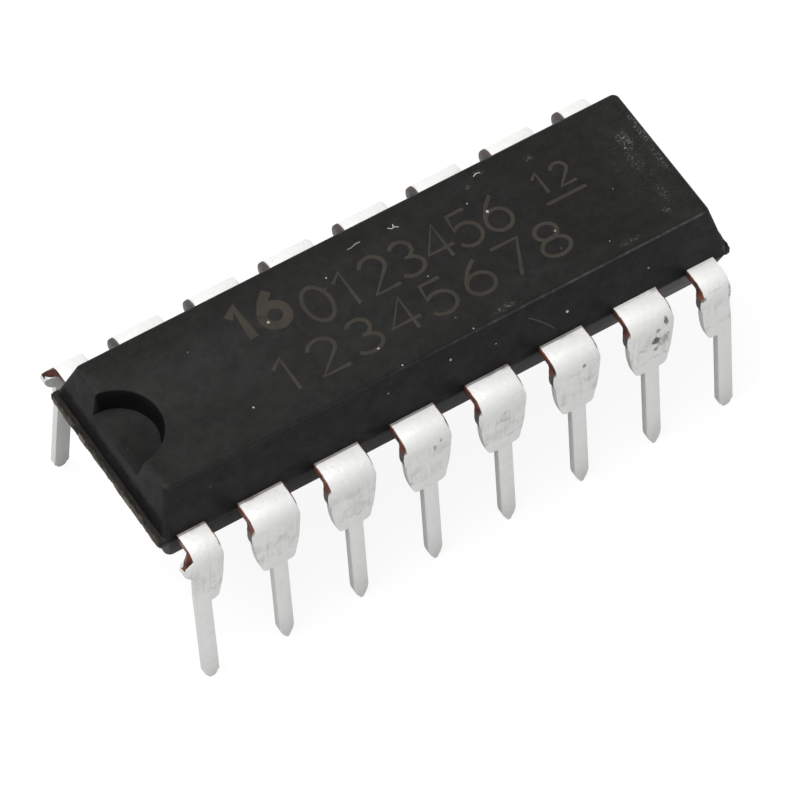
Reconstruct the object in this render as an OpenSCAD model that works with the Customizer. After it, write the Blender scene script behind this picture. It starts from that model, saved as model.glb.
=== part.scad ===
// Sixteen-lead dual in-line integrated circuit, in millimetres.
// The long axis is X with the half-round notch at -X, the lead rows run along -Y and +Y,
// and the package stands on its lead tips at Z = 0.

/* [Moulded body] */
// Width of the moulded body at its parting line
body_width = 6.1; // [6.0:0.05:6.4]
// From the centre of each last lead to the end of the body at its parting line
end_margin = 0.685; // [0.55:0.005:0.9]
// Height of the moulding above the lead frame's middle plane
upper_height = 1.75; // [1.4:0.05:2]
// Depth of the moulding below the lead frame's middle plane
lower_height = 1.7; // [1.2:0.05:1.9]
// Draft of the two long sides, in degrees
side_draft = 18; // [8:1:20]
// Draft of the two ends, in degrees
end_draft = 13; // [8:1:18]
// Radius of the four upright corners
corner_radius = 0.2; // [0.1:0.05:0.4]
// Radius round the edge of the top and of the underside
edge_radius = 0.12; // [0.04:0.02:0.2]
// How far the thin flash at the parting line stands out of the notch end
flash_reach = 0.13; // [0.04:0.01:0.2]
// How far it stands out of the plain end
plain_flash_reach = 0.04; // [0.02:0.01:0.2]

/* [Orientation notch] */
// Radius of the notch at the top face
notch_rim_radius = 1.35; // [1:0.05:1.6]
// Radius of the notch at its floor
notch_floor_radius = 1.22; // [0.9:0.02:1.3]
// Depth of the notch below the top face
notch_depth = 0.75; // [0.3:0.05:0.9]
// How far the notch's centre lies outside the top face's end
notch_overhang = 0.07; // [0:0.01:0.2]

/* [Ejector marks] */
// Diameter of the two round ejector marks in the underside
ejector_diameter = 1.6; // [1:0.1:2]
// Depth of the ejector marks
ejector_depth = 0.06; // [0.02:0.01:0.1]
// From the middle of the body to the centre of each ejector mark
ejector_offset = 6; // [4:0.1:7]

/* [Leads] */
// Distance between neighbouring leads in a row
lead_pitch = 2.54; // [2.5:0.01:2.6]
// Thickness of the lead frame's sheet
lead_thickness = 0.25; // [0.2:0.01:0.28]
// Distance over the outer faces of the two rows of shoulders
row_span = 7.96; // [7.62:0.01:8.26]
// Outer radius of the bend where a lead turns down
bend_radius = 0.5; // [0.35:0.01:0.55]
// Width of a lead's shoulder
shoulder_width = 1.5; // [1.2:0.01:1.6]
// How far the stamped shoulders lie off their pins' centre lines, towards the notch end
shoulder_offset = 0.07; // [0:0.01:0.1]
// From the frame's middle plane down to the step under the shoulder
shoulder_drop = 2.34; // [2.2:0.02:2.6]
// From the frame's middle plane to where the side towards the notch end starts to curve in
notch_side_straight = 0.65; // [0.5:0.05:1]
// From the frame's middle plane to where the side towards the plain end starts to curve in
plain_side_straight = 0.93; // [0.5:0.01:1.2]
// Radius of the slow curve along each side of the shoulder
shoulder_side_radius = 5.2; // [4:0.1:6]
// Radius of the shoulder's lower corners
shoulder_corner_radius = 0.2; // [0.1:0.01:0.26]
// Width of the pin that goes into a board
pin_width = 0.48; // [0.4:0.01:0.56]
// Length of the pin below the step, measured straight down
pin_length = 3.39; // [3:0.01:3.8]
// Fillet between the step and the pin
pin_fillet = 0.06; // [0.03:0.01:0.1]
// Outward lean of the lead below its set line, in degrees
pin_splay = 6.3; // [0:0.1:8]
// From the frame's middle plane down to the set line, where the lean starts
set_drop = 2.0; // [1.7:0.05:2.1]
// Length of the rounded point
point_length = 0.55; // [0.3:0.05:0.7]
// Width across the very tip
point_width = 0.16; // [0.1:0.01:0.3]
// Length of the blunter point of the last leads
end_point_length = 0.26; // [0.2:0.02:0.7]
// Width across the tip of the last leads
end_point_width = 0.34; // [0.1:0.01:0.36]
// Width of a last lead on its outer side, from the middle of the stamped shoulder, where it leaves the body
end_lead_reach = 0.19; // [0.15:0.005:0.3]
// How far the dam bar's stubs stand out of the shoulders' sides towards the notch end
notch_stub_reach = 0.1; // [0.02:0.01:0.15]
// How far the dam bar's stubs stand out of the shoulders' sides towards the plain end
plain_stub_reach = 0.02; // [0.01:0.01:0.15]
// The same on the outer side of the last leads at the notch end
notch_end_stub_reach = 0.36; // [0.02:0.01:0.4]
// The same on the outer side of the last leads at the plain end
plain_end_stub_reach = 0.02; // [0.01:0.01:0.4]
// From the frame's middle plane down to the top of the dam bar's stubs
dam_stub_top = 0.13; // [0.13:0.01:0.2]
// Height of the dam bar's stubs
dam_stub_height = 0.75; // [0.3:0.01:0.8]
// From the frame's middle plane down to where a last lead's outer side runs into its pin
end_side_drop = 1.9; // [1.4:0.05:2.1]

/* [Lead frame inside the body] */
// Length of the die pad
pad_length = 4.2; // [3.6:0.1:4.6]
// Width of the die pad
pad_width = 2.6; // [2.5:0.05:2.8]
// Gap between the die pad and the ends of the fingers
finger_gap = 0.25; // [0.15:0.01:0.35]
// Width of the fingers that run in to the die pad
finger_width = 0.36; // [0.25:0.01:0.38]
// Clearance between neighbouring fingers at the ends of the die pad
finger_clearance = 0.2; // [0.15:0.01:0.22]
// Distance between the fingers along the sides of the die pad
finger_tip_pitch = 1; // [0.7:0.05:1.1]
// Length of the straight end of each side finger, beside the die pad
finger_straight = 0.45; // [0.4:0.01:0.5]
// Width of a lead's neck inside the body
neck_width = 1.1; // [0.9:0.05:1.2]
// Depth of a lead's neck, from its full width to its finger
neck_depth = 0.45; // [0.42:0.01:0.5]
// Width of a last lead's neck inside the body
end_neck_width = 0.7; // [0.6:0.05:0.8]
// Diameter of the hole in each neck that the moulding locks into
lock_hole_diameter = 0.36; // [0.2:0.02:0.4]
// How deep a lead's full width goes into the body
shoulder_embed = 0.15; // [0.1:0.01:0.2]
// Width of the bar that holds each end of the die pad
tie_bar_width = 0.3; // [0.2:0.02:0.32]
// Distance between the two cut ends of the tie bar at each end of the body
tie_spread = 2.5; // [2:0.1:2.8]
// Width of the tie bar's two cut ends
tie_stub_width = 0.34; // [0.2:0.02:0.4]
// From the end of the body to the middle of the cross piece of the tie bar
tie_cross_inset = 1.25; // [1.1:0.05:1.3]
// How far the cut ends of the tie bar stand out of the flash
tie_stub_proud = 0.03; // [0.01:0.01:0.05]

/* [Die and bond wires] */
// Length of the silicon die
die_length = 1.9; // [1.6:0.05:2.2]
// Width of the silicon die
die_width = 1.6; // [1.4:0.05:1.9]
// Thickness of the silicon die
die_thickness = 0.28; // [0.2:0.01:0.4]
// Thickness of the adhesive under the die
attach_thickness = 0.03; // [0.02:0.01:0.05]
// How far the adhesive spreads past the die
attach_spread = 0.08; // [0.03:0.01:0.12]
// Diameter of a bond wire
wire_diameter = 0.03; // [0.02:0.005:0.05]
// Half the angle that a bond wire's arc turns through, in degrees
wire_arc = 52; // [45:1:60]
// From the edge of the die, and from the end of a finger, to the wire's bond
bond_inset = 0.12; // [0.08:0.01:0.15]
// Distance between neighbouring bonds on the die
bond_pitch = 0.42; // [0.3:0.01:0.5]

/* [Hidden] */
leads_per_row = 8;
leads_per_quarter = leads_per_row / 2;
lead_count = 2 * leads_per_row;

slice = 0.004;      // thickness of the slabs that a lofted half is drawn through
overlap = 0.02;     // how far united solids reach into each other
arc_steps = 8;      // straight steps in a drawn arc
tip_steps = 4;      // straight steps round half of a pin's tip
edge_steps = 4;     // steps round the edge of the top and underside
flash_inset = 0.05; // from the body's sides to the sides of the flash, inside the draft
sheet_margin = 0.4; // room beside the widest shoulder for the sheet that it is cut from

parting_z = shoulder_drop + pin_length;
body_length = (leads_per_row - 1) * lead_pitch + 2 * end_margin;
frame_top = lead_thickness / 2;
half_shoulder = shoulder_width / 2;
half_pin = pin_width / 2;
stub_bottom = dam_stub_top + dam_stub_height;
bend_y = row_span / 2 - bend_radius;
finger_knee = body_width / 2 - shoulder_embed - neck_depth;
finger_turn = pad_width / 2 + finger_gap + finger_straight;
end_neck_shift = (half_shoulder - end_lead_reach) / 2;
end_finger_y = tie_bar_width / 2 + finger_clearance + finger_width / 2;
die_base = frame_top + attach_thickness;
die_top = die_base + die_thickness;

// Points on an arc about a centre, from one angle to another
function arc(centre, radius, from, to, steps = arc_steps) =
    [for (i = [0:steps]) let (a = from + (to - from) * i / steps)
        centre + radius * [cos(a), sin(a)]];

// The same without its last point, where the next piece of an outline starts
function part_arc(centre, radius, from, to) =
    [for (i = [0:arc_steps - 1]) let (a = from + (to - from) * i / arc_steps)
        centre + radius * [cos(a), sin(a)]];

// Distance of a lead's centre line from the middle of the body, counted out from the middle
function lead_x(k) = (k - 0.5) * lead_pitch;

// The cut stub of the dam bar: a bump on a straight side, from the top down, fullest above its middle
function outline_stub(side_x, reach) =
    [for (i = [0:arc_steps - 1]) let (t = i / arc_steps)
        [side_x + reach * pow(sin(180 * pow(t, 0.7)), 0.65), -dam_stub_top - dam_stub_height * t]];

// A shoulder's side: a slow curve from below the stub into the lower corner, and the step in to the pin
function outline_shoulder(side_x, straight) =
    let (radius = shoulder_side_radius - shoulder_corner_radius)
    let (from = asin(max(0, stub_bottom - straight) / shoulder_side_radius))
    let (turn = asin((shoulder_drop - shoulder_corner_radius - straight) / radius))
    let (corner_x = max(side_x - shoulder_side_radius + radius * cos(turn), half_pin + pin_fillet + overlap))
    concat(
        part_arc([side_x - shoulder_side_radius, -straight], shoulder_side_radius, -from, -turn),
        arc([corner_x, shoulder_corner_radius - shoulder_drop], shoulder_corner_radius, -turn, -90),
        arc([half_pin + pin_fillet, -shoulder_drop - pin_fillet], pin_fillet, 90, 180));

// The rounded point, drawn down one side of the pin
function outline_point(length, width) =
    let (tip_radius = width / 2)
    let (inset = half_pin - tip_radius)
    let (fall = length - tip_radius)
    let (radius = (inset * inset + fall * fall) / (2 * inset))
    concat(
        part_arc([half_pin - radius, length - parting_z], radius, 0, -asin(fall / radius)),
        arc([0, tip_radius - parting_z], tip_radius, 0, -75, tip_steps));

// One full side of a lead's front outline, from the top down
function outline_full(to_notch, last) =
    let (side_x = half_shoulder + (to_notch ? shoulder_offset : -shoulder_offset))
    concat(
        [[side_x, lead_thickness]],
        outline_stub(side_x, to_notch ? notch_stub_reach : plain_stub_reach),
        outline_shoulder(side_x, to_notch ? notch_side_straight : plain_side_straight),
        outline_point(last ? end_point_length : point_length, last ? end_point_width : point_width));

// The outer side of a last lead, which has no shoulder, only the dam bar's stub
function outline_end(to_notch) =
    let (side_x = end_lead_reach + (to_notch ? shoulder_offset : -shoulder_offset))
    concat(
        [[side_x, lead_thickness]],
        outline_stub(side_x, to_notch ? notch_end_stub_reach : plain_end_stub_reach),
        [[side_x, -stub_bottom], [half_pin, -end_side_drop]],
        outline_point(end_point_length, end_point_width));

function mirrored(points) = [for (i = [len(points) - 1:-1:0]) [-points[i][0], points[i][1]]];

// One slab of a drafted half at a height above its parting face, drawn in by an extra inset
module half_slab(height, inset) {
    x = body_length / 2 - height * tan(end_draft) - inset - corner_radius;
    y = body_width / 2 - height * tan(side_draft) - inset - corner_radius;
    for (sx = [-1, 1], sy = [-1, 1])
        translate([sx * x, sy * y, height])
            cylinder(h = slice, r = corner_radius, $fn = 32);
}

// A moulded half: a loft from the parting face to the rounded edge of its flat face
module moulded_half(height)
    hull() {
        half_slab(0, 0);
        for (i = [0:edge_steps]) {
            turn = 90 * i / edge_steps;
            half_slab(height - slice - edge_radius * (1 - sin(turn)), edge_radius * (1 - cos(turn)));
        }
    }

// The thin flash that the parting line leaves on both ends
module end_flash() {
    length = body_length + flash_reach + plain_flash_reach;
    width = body_width - 2 * flash_inset;
    translate([-body_length / 2 - flash_reach, -width / 2, -frame_top])
        cube([length, width, lead_thickness]);
}

// The half-round recess that marks the end where counting starts
module notch() {
    top_end = body_length / 2 - upper_height * tan(end_draft);
    slope = (notch_rim_radius - notch_floor_radius) / notch_depth;
    translate([-top_end - notch_overhang, 0, upper_height - notch_depth])
        cylinder(h = notch_depth + overlap, r1 = notch_floor_radius,
                 r2 = notch_rim_radius + slope * overlap, $fn = 96);
}

module ejector_marks()
    for (s = [-1, 1])
        translate([s * ejector_offset, 0, -lower_height - overlap])
            cylinder(h = ejector_depth + overlap, d = ejector_diameter, $fn = 64);

// Side view of the bent sheet: flat out of the body, round the bend, down, and out below the set line
module bent_sheet() {
    start = body_width / 2 - shoulder_embed;
    outer = row_span / 2;
    inner = outer - lead_thickness;
    bend_z = frame_top - bend_radius;
    lean = tan(pin_splay);
    across = lead_thickness / cos(pin_splay);
    inner_set = set_drop + lead_thickness * tan(pin_splay / 2);
    outer_tip = outer + (parting_z - set_drop) * lean;
    translate([start, -frame_top])
        square([bend_y - start, lead_thickness]);
    translate([bend_y, bend_z])
        intersection() {
            difference() {
                circle(r = bend_radius, $fn = 96);
                circle(r = bend_radius - lead_thickness, $fn = 96);
            }
            square(bend_radius);
        }
    polygon([
        [inner, bend_z], [outer, bend_z], [outer, -set_drop],
        [outer_tip, -parting_z], [outer_tip - across, -parting_z], [inner, -inner_set]]);
}

// A flat strip of the frame from one point to the next, with round turns
module strip(points, width)
    for (i = [0:len(points) - 2]) {
        run = points[i + 1] - points[i];
        translate(points[i])
            rotate(atan2(run[1], run[0]))
                translate([0, -width / 2])
                    square([norm(run), width]);
        if (i > 0)
            translate(points[i])
                circle(d = width, $fn = 32);
    }

// The route of the finger of lead k, from its neck to its end beside the die pad
function finger_route(k) =
    let (side = k <= 2, last = k == leads_per_quarter)
    let (neck_x = lead_x(k) - (last ? end_neck_shift : 0))
    let (tip_x = side ? (k - 0.5) * finger_tip_pitch : pad_length / 2 + finger_gap)
    let (tip_y = side ? pad_width / 2 + finger_gap
                      : end_finger_y + (leads_per_quarter - k) * (finger_width + finger_clearance))
    side ? [[neck_x, finger_knee + overlap], [neck_x, finger_knee], [tip_x, finger_turn], [tip_x, tip_y]]
         : [[neck_x, finger_knee + overlap], [neck_x, finger_knee],
            [neck_x - (finger_knee - tip_y), tip_y], [tip_x, tip_y]];

// The part of lead k that lies flat inside the body
module inner_lead(k) {
    last = k == leads_per_quarter;
    width = last ? end_neck_width : neck_width;
    x = lead_x(k) - (last ? end_neck_shift : 0);
    depth = body_width / 2 - shoulder_embed + overlap - finger_knee;
    translate([0, 0, -frame_top])
        linear_extrude(lead_thickness)
            difference() {
                union() {
                    strip(finger_route(k), finger_width);
                    translate([x - width / 2, finger_knee])
                        square([width, depth]);
                }
                translate([x, finger_knee + depth / 2])
                    circle(d = lock_hole_diameter, $fn = 32);
            }
}

// Lead k of the quarter at +X and +Y: the stamped outline and the bent sheet, cut with each other;
// at the notch end the quarter is mirrored, and the side towards the notch is the outer one
module quarter_lead(k, at_notch_end) {
    last = k == leads_per_quarter;
    outer = last ? outline_end(at_notch_end) : outline_full(at_notch_end, false);
    sheet_reach = half_shoulder + sheet_margin;
    inner_lead(k);
    intersection() {
        translate([lead_x(k) - sheet_reach, 0, 0])
            rotate([90, 0, 90])
                linear_extrude(2 * sheet_reach)
                    bent_sheet();
        translate([lead_x(k), row_span, 0])
            rotate([90, 0, 0])
                linear_extrude(row_span)
                    polygon(concat(outer, mirrored(outline_full(!at_notch_end, last))));
    }
}

// Column of a lead along +X, and the mirror images that put it in its quarter
function lead_column(i) = i <= leads_per_row ? i : lead_count + 1 - i;
function quarter_x(i) = lead_column(i) > leads_per_quarter ? 1 : -1;
function quarter_y(i) = i <= leads_per_row ? -1 : 1;
function quarter_k(i) =
    quarter_x(i) > 0 ? lead_column(i) - leads_per_quarter : leads_per_quarter + 1 - lead_column(i);

module in_quarter(i)
    mirror([quarter_x(i) < 0 ? 1 : 0, 0, 0])
        mirror([0, quarter_y(i) < 0 ? 1 : 0, 0])
            children();

// The die pad with the bars that tie it to both ends of the frame
module pad_plan() {
    cross_x = body_length / 2 - tie_cross_inset;
    square([pad_length, pad_width], center = true);
    square([2 * cross_x, tie_bar_width], center = true);
    for (s = [-1, 1]) {
        stub_length = tie_cross_inset + (s < 0 ? flash_reach : plain_flash_reach) + tie_stub_proud;
        translate([s * cross_x, 0])
            square([tie_bar_width, tie_spread + tie_stub_width], center = true);
        for (t = [-1, 1])
            translate([s * (cross_x + stub_length / 2), t * tie_spread / 2])
                square([stub_length, tie_stub_width], center = true);
    }
}

// Where the wire of lead k is bonded on the die and on its finger
function die_bond(k) =
    k <= 2 ? [(k - 0.5) * bond_pitch, die_width / 2 - bond_inset]
           : [die_length / 2 - bond_inset, (leads_per_quarter + 0.5 - k) * bond_pitch];
function finger_bond(k) =
    let (route = finger_route(k))
    let (tip = route[len(route) - 1])
    let (back = route[len(route) - 2] - tip)
    tip + bond_inset * back / norm(back);

// The wire of lead k: one arc from the die over to the finger, cut flush where it meets them
module quarter_wire(k) {
    from = die_bond(k);
    to = finger_bond(k);
    reach = norm(to - from);
    drop = die_top - frame_top;
    chord = norm([reach, drop]);
    radius = chord / (2 * sin(wire_arc));
    past = 4;
    difference() {
        translate([from[0], from[1], die_top])
            rotate(atan2(to[1] - from[1], to[0] - from[0]))
                rotate([90, 0, 0])
                    rotate(-atan2(drop, reach))
                        translate([chord / 2, -radius * cos(wire_arc)])
                            rotate(90 - wire_arc - past)
                                rotate_extrude(angle = 2 * (wire_arc + past), $fn = 64)
                                    translate([radius, 0])
                                        circle(d = wire_diameter, $fn = 16);
        die_solid();
        translate([0, 0, -lead_thickness])
            cube([2 * pad_length, 2 * pad_length, frame_top + lead_thickness]);
    }
}

module lead_at(i)
    in_quarter(i)
        quarter_lead(quarter_k(i), quarter_x(i) < 0);

module bond_wire_at(i)
    in_quarter(i)
        quarter_wire(quarter_k(i));

module pad_solid()
    translate([0, 0, -frame_top])
        linear_extrude(lead_thickness)
            pad_plan();

module attach_solid()
    translate([-die_length / 2 - attach_spread, -die_width / 2 - attach_spread, frame_top])
        cube([die_length + 2 * attach_spread, die_width + 2 * attach_spread, attach_thickness]);

module die_solid()
    translate([-die_length / 2, -die_width / 2, die_base])
        cube([die_length, die_width, die_thickness]);

// Everything that the moulding is cast round
module cast_in() {
    pad_solid();
    attach_solid();
    die_solid();
    for (i = [1:lead_count]) {
        lead_at(i);
        bond_wire_at(i);
    }
}

module in_place()
    translate([0, 0, parting_z])
        children();

module body()
    color("#2d2d2c")
        in_place()
            difference() {
                union() {
                    moulded_half(upper_height);
                    mirror([0, 0, 1])
                        moulded_half(lower_height);
                    end_flash();
                }
                notch();
                ejector_marks();
                cast_in();
            }

module lead(i)
    color("#d6d6d2")
        in_place()
            lead_at(i);

module die_pad()
    color("#c07048")
        in_place()
            pad_solid();

module die_attach()
    color("#b9bcc0")
        in_place()
            attach_solid();

module silicon_die()
    color("#4a5160")
        in_place()
            die_solid();

module bond_wire(i)
    color("#e0b64c")
        in_place()
            bond_wire_at(i);

body();
die_pad();
die_attach();
silicon_die();
for (i = [1:lead_count]) {
    lead(i);
    bond_wire(i);
}
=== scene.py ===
"""Looks of a sixteen-lead dual in-line integrated circuit: moulding, tinned leads, marks and studio."""
import math
import random

import bmesh
import bpy
from mathutils import Matrix, Vector, noise


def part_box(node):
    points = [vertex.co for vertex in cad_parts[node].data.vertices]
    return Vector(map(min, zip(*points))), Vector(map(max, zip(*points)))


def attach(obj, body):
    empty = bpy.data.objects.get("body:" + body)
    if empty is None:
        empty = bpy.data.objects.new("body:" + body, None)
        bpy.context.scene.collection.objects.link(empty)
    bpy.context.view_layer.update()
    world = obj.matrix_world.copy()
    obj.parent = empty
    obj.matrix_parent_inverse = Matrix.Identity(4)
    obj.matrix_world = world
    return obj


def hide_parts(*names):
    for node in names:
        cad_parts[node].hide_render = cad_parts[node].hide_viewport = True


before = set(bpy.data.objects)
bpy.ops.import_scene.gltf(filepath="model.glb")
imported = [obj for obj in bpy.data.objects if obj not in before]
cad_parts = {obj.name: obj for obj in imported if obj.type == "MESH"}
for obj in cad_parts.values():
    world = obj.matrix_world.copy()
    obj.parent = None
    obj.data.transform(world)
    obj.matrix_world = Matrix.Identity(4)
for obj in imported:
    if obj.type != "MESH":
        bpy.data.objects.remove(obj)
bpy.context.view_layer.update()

MM = 0.001

# Heights and half sizes of the moulding, in millimetres, from the frame
BODY_HIGH = [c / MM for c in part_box("body")[1]]
TOP_Z = BODY_HIGH[2]
FRAME_TOP_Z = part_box("lead_4")[1][2] / MM
SHEET = 0.25
PARTING_Z = FRAME_TOP_Z - SHEET / 2
# How far the flash stands out of the notch end and of the plain end
FLASH_REACH = 0.13
PLAIN_FLASH_REACH = 0.04
HALF_LENGTH = BODY_HIGH[0] - PLAIN_FLASH_REACH
HALF_WIDTH = BODY_HIGH[1]
SIDE_DRAFT = math.radians(18)
END_DRAFT = math.radians(13)
UPPER = TOP_Z - PARTING_Z
# Outer face of the shoulders, the radius of their bend and the outer side of the first leads
LEAD_REACH = 3.98
BEND_RADIUS = 0.5
FIRST_SIDE = -9.15
TOP_HALF_LENGTH = HALF_LENGTH - UPPER * math.tan(END_DRAFT)
TOP_HALF_WIDTH = HALF_WIDTH - UPPER * math.tan(SIDE_DRAFT)
LEADS_PER_ROW = 8
LEAD_COUNT = 2 * LEADS_PER_ROW
PITCH = 2.54


# Node helpers

def add(tree, kind, inputs=None, **settings):
    """Adds a node, sets its settings, and links or sets its inputs."""
    node = tree.nodes.new(kind)
    for name, value in settings.items():
        setattr(node, name, value)
    for key, value in (inputs or {}).items():
        socket = node.inputs[key]
        if isinstance(value, bpy.types.NodeSocket):
            tree.links.new(value, socket)
        else:
            socket.default_value = value
    return node


def calc(tree, operation, a, b=0.0, c=0.0, clamp=False):
    """One step of arithmetic; gives the node's result socket."""
    node = add(tree, "ShaderNodeMath", {0: a, 1: b, 2: c}, operation=operation, use_clamp=clamp)
    return node.outputs[0]


def plus(tree, first, second):
    """Sum of two values."""
    return calc(tree, "ADD", first, second)


def minus(tree, first, second, clamp=False):
    """First value less the second."""
    return calc(tree, "SUBTRACT", first, second, clamp=clamp)


def times(tree, first, second, clamp=False):
    """Product of two values."""
    return calc(tree, "MULTIPLY", first, second, clamp=clamp)


def times_plus(tree, value, factor, offset):
    """A value times a factor, and an offset added."""
    return calc(tree, "MULTIPLY_ADD", value, factor, offset)


def larger(tree, first, second):
    """The larger of two values."""
    return calc(tree, "MAXIMUM", first, second)


def size_of(tree, value):
    """A value without its sign."""
    return calc(tree, "ABSOLUTE", value)


def fade(tree, value, low, high, to_low=0.0, to_high=1.0):
    """Smooth step of a value between two limits."""
    node = add(tree, "ShaderNodeMapRange", {0: value, 1: low, 2: high, 3: to_low, 4: to_high},
               interpolation_type="SMOOTHSTEP")
    return node.outputs[0]


def blend_colour(tree, share, first, second, mode="MIX"):
    """The first colour with a share of the second laid over it."""
    node = add(tree, "ShaderNodeMix", {0: share, 6: first, 7: second},
               data_type="RGBA", blend_type=mode)
    return node.outputs[2]


def noise_of(tree, vector, scale, detail=2.0, roughness=0.5, distortion=0.0):
    """Noise from 0 to 1 with so many cells to a millimetre."""
    node = add(tree, "ShaderNodeTexNoise",
               {"Vector": vector, "Scale": scale, "Detail": detail, "Roughness": roughness,
                "Distortion": distortion})
    return node.outputs[0]


def stretched(tree, vector, scale, place=(0, 0, 0)):
    """A place scaled along each axis, then moved."""
    node = add(tree, "ShaderNodeMapping", {"Vector": vector, "Scale": scale, "Location": place})
    return node.outputs[0]


def split(tree, vector):
    """The three parts of a vector."""
    return add(tree, "ShaderNodeSeparateXYZ", {0: vector}).outputs


def new_group(name, inputs, outputs):
    """An empty node group with named sockets; gives the tree, its inputs and its output node."""
    tree = bpy.data.node_groups.new(name, "ShaderNodeTree")
    for label, kind, default in inputs:
        socket = tree.interface.new_socket(label, in_out="INPUT", socket_type=kind)
        if default is not None:
            socket.default_value = default
    for label, kind in outputs:
        tree.interface.new_socket(label, in_out="OUTPUT", socket_type=kind)
    start = tree.nodes.new("NodeGroupInput")
    end = tree.nodes.new("NodeGroupOutput")
    return tree, start.outputs, end


def use(tree, group, **inputs):
    """Places a group in a material, with words of its socket names joined by underscores."""
    node = tree.nodes.new("ShaderNodeGroup")
    node.node_tree = group
    for key, value in inputs.items():
        socket = node.inputs[key.replace("_", " ")]
        if isinstance(value, bpy.types.NodeSocket):
            tree.links.new(value, socket)
        else:
            socket.default_value = value
    return node.outputs


# Effects that more than one material uses

def make_grain_group():
    """Fine mould or metal grain, and the slow change of tone over a surface."""
    tree, start, end = new_group(
        "Surface grain",
        [("Position", "NodeSocketVector", None), ("Grain per mm", "NodeSocketFloat", 16.0),
         ("Mottle per mm", "NodeSocketFloat", 0.8)],
        [("Height", "NodeSocketFloat"), ("Mottle", "NodeSocketFloat")])
    fine = noise_of(tree, start["Position"], start["Grain per mm"], 3.0, 0.65)
    pits = add(tree, "ShaderNodeTexVoronoi",
               {"Vector": start["Position"], "Scale": start["Grain per mm"]})
    pit = fade(tree, pits.outputs["Distance"], 0.0, 0.55)
    height = plus(tree, times(tree, fine, 0.6), times(tree, pit, 0.4))
    slow = noise_of(tree, start["Position"], start["Mottle per mm"], 4.0, 0.6, 0.3)
    tree.links.new(height, end.inputs["Height"])
    tree.links.new(fade(tree, slow, 0.3, 0.7), end.inputs["Mottle"])
    return tree


def make_speck_group():
    """Scattered round specks: dust on the moulding, pits and dirt on the leads."""
    tree, start, end = new_group(
        "Specks",
        [("Position", "NodeSocketVector", None), ("Cells per mm", "NodeSocketFloat", 1.0),
         ("Radius", "NodeSocketFloat", 0.06), ("Share", "NodeSocketFloat", 0.3)],
        [("Mask", "NodeSocketFloat")])
    ragged = noise_of(tree, start["Position"], 14.0)
    cells = add(tree, "ShaderNodeTexVoronoi",
                {"Vector": start["Position"], "Scale": start["Cells per mm"]})
    draw = add(tree, "ShaderNodeSeparateColor", {0: cells.outputs["Color"]}).outputs
    reach = times(tree, start["Radius"], plus(tree, draw[1], 0.35))
    edge = minus(tree, cells.outputs["Distance"],
                 times(tree, minus(tree, ragged, 0.5), start["Radius"]))
    dot = minus(tree, 1.0, calc(tree, "DIVIDE", edge, reach), clamp=True)
    chosen = calc(tree, "LESS_THAN", draw[0], start["Share"])
    soft = fade(tree, dot, 0.0, 0.6)
    tree.links.new(times(tree, soft, chosen), end.inputs["Mask"])
    return tree


def make_patch_group():
    """A soft patch about a centre, with its own reach along each axis."""
    tree, start, end = new_group(
        "Patch",
        [("Position", "NodeSocketVector", None), ("Centre", "NodeSocketVector", (0, 0, 0)),
         ("Reach", "NodeSocketVector", (1, 1, 1))],
        [("Mask", "NodeSocketFloat")])
    away = add(tree, "ShaderNodeVectorMath", {0: start["Position"], 1: start["Centre"]},
               operation="SUBTRACT").outputs[0]
    shared = add(tree, "ShaderNodeVectorMath", {0: away, 1: start["Reach"]},
                 operation="DIVIDE").outputs[0]
    length = add(tree, "ShaderNodeVectorMath", {0: shared}, operation="LENGTH").outputs["Value"]
    tree.links.new(fade(tree, length, 1.0, 0.35), end.inputs["Mask"])
    return tree


def make_edge_highlight_group():
    """Painted highlight and wear along the upright and level edges of a box: one where a point is near
    two of its faces.
    """
    tree, start, end = new_group(
        "Edge highlight and wear",
        [("Position", "NodeSocketVector", None), ("Half size", "NodeSocketVector", (1, 1, 1)),
         ("Centre", "NodeSocketVector", (0, 0, 0)), ("Reach", "NodeSocketFloat", 0.1),
         ("Break up", "NodeSocketFloat", 0.5)],
        [("Mask", "NodeSocketFloat")])
    away = add(tree, "ShaderNodeVectorMath", {0: start["Position"], 1: start["Centre"]},
               operation="SUBTRACT").outputs[0]
    size = add(tree, "ShaderNodeVectorMath", {0: away}, operation="ABSOLUTE").outputs[0]
    depth = split(tree, add(tree, "ShaderNodeVectorMath", {0: start["Half size"], 1: size},
                            operation="SUBTRACT").outputs[0])
    near = [minus(tree, 1.0, calc(tree, "DIVIDE", size_of(tree, d), start["Reach"]),
                  clamp=True) for d in depth]
    across = larger(tree, near[0], near[1])
    level = times(tree, across, near[2])
    ragged = noise_of(tree, start["Position"], 3.5, 4.0, 0.7)
    kept = minus(tree, 1.0, times(tree, start["Break up"], fade(tree, ragged, 0.35, 0.6)))
    tree.links.new(times(tree, level, kept), end.inputs["Mask"])
    return tree


GRAIN = make_grain_group()
SPECKS = make_speck_group()
PATCH = make_patch_group()
EDGE_HIGHLIGHT_AND_WEAR = make_edge_highlight_group()


def new_material(name):
    """A material with one Principled BSDF; gives it, its tree, its shader and the place in mm."""
    material = bpy.data.materials.new(name)
    material.use_nodes = True
    tree = material.node_tree
    shader = tree.nodes["Principled BSDF"]
    place = add(tree, "ShaderNodeTexCoord")
    in_mm = stretched(tree, place.outputs["Object"], (1 / MM, 1 / MM, 1 / MM))
    return material, tree, shader, in_mm


def set_bump(tree, shader, height, depth_mm, strength):
    """Puts a relief of a depth in millimetres on the surface."""
    bump = add(tree, "ShaderNodeBump",
               {"Height": height, "Distance": depth_mm * MM, "Strength": strength})
    tree.links.new(bump.outputs[0], shader.inputs["Normal"])


def whole_normal(tree):
    """The parts of the surface's direction in the object's own axes."""
    return split(tree, add(tree, "ShaderNodeTexCoord").outputs["Normal"])


# Materials of this part

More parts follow.
